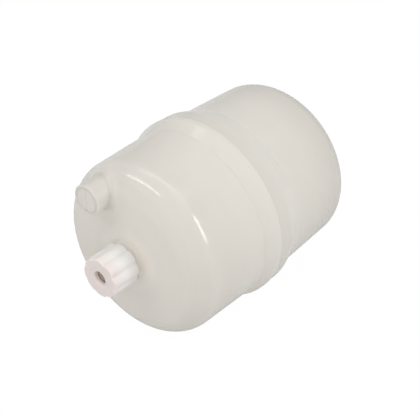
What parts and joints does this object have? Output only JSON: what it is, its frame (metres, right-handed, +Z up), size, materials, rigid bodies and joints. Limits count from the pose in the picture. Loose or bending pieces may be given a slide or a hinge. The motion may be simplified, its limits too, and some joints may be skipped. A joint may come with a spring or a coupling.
{
  "type": "capsule filter",
  "caption": "In-line liquid filter: a milky welded capsule with a raised belt, a ribbed tube nut at each end and an off-centre screwed vent, around a pleated cartridge.",
  "frame": {"origin": "on the capsule's axis, inside the belt that joins the two bowls", "axes": "+X along the axis from inlet to outlet, +Z up as the capsule lies on its side, vent boss on the +Y +Z side of the inlet end"},
  "size_m": [0.0986, 0.0614, 0.0614],
  "materials": {
    "shell": "milky translucent moulded polypropylene, smooth",
    "nut": "opaque white moulded plastic, satin",
    "plug": "milky translucent moulded polypropylene",
    "spacer": "plain moulded plastic",
    "grip_steel": "stamped stainless steel",
    "seal": "black moulded rubber",
    "cartridge": "plain white moulded plastic",
    "net": "fine plastic net",
    "sheet": "white filter membrane"
  },
  "bodies": {
    "shell": {"inlet_bowl": "shell", "outlet_bowl": "shell", "inlet_o_ring": "seal", "outlet_o_ring": "seal", "inlet_end_cap": "cartridge", "outlet_end_cap": "cartridge", "spigot_o_ring": "seal", "core": "cartridge", "cage": "cartridge", "upstream_net": "net", "filter_sheet": "sheet", "downstream_net": "net"},
    "inlet_rings": {"inlet_grip_ring": "grip_steel", "inlet_spacer": "spacer"},
    "inlet_nut": {"inlet_nut": "nut"},
    "outlet_rings": {"outlet_grip_ring": "grip_steel", "outlet_spacer": "spacer"},
    "outlet_nut": {"outlet_nut": "nut"},
    "vent_ring": {"vent_o_ring": "seal"},
    "vent_plug": {"vent_plug": "plug"}
  },
  "joints": [
    {"name": "inlet_nut_travel", "type": "slide", "parent": "shell", "child": "inlet_rings", "axis": [-1, 0, 0], "range_m": [0, 0.006]},
    {"name": "inlet_nut_turn", "type": "hinge", "parent": "inlet_rings", "child": "inlet_nut", "pos_m": [-0.03955, 0, 0], "axis": [-1, 0, 0], "range_deg": [0, 1440]},
    {"name": "outlet_nut_travel", "type": "slide", "parent": "shell", "child": "outlet_rings", "axis": [1, 0, 0], "range_m": [0, 0.006]},
    {"name": "outlet_nut_turn", "type": "hinge", "parent": "outlet_rings", "child": "outlet_nut", "pos_m": [0.03901, 0, 0], "axis": [1, 0, 0], "range_deg": [0, 1440]},
    {"name": "vent_plug_travel", "type": "slide", "parent": "shell", "child": "vent_ring", "axis": [-1, 0, 0], "range_m": [0, 0.00313]},
    {"name": "vent_plug_turn", "type": "hinge", "parent": "vent_ring", "child": "vent_plug", "pos_m": [-0.04275, 0.01105, 0.01914], "axis": [-1, 0, 0], "range_deg": [0, 900]}
  ],
  "couplings": [
    {"joint": "inlet_nut_turn", "follows": "inlet_nut_travel", "rad_per_m": 4188.8},
    {"joint": "outlet_nut_turn", "follows": "outlet_nut_travel", "rad_per_m": 4188.8},
    {"joint": "vent_plug_turn", "follows": "vent_plug_travel", "rad_per_m": 5026.5}
  ]
}
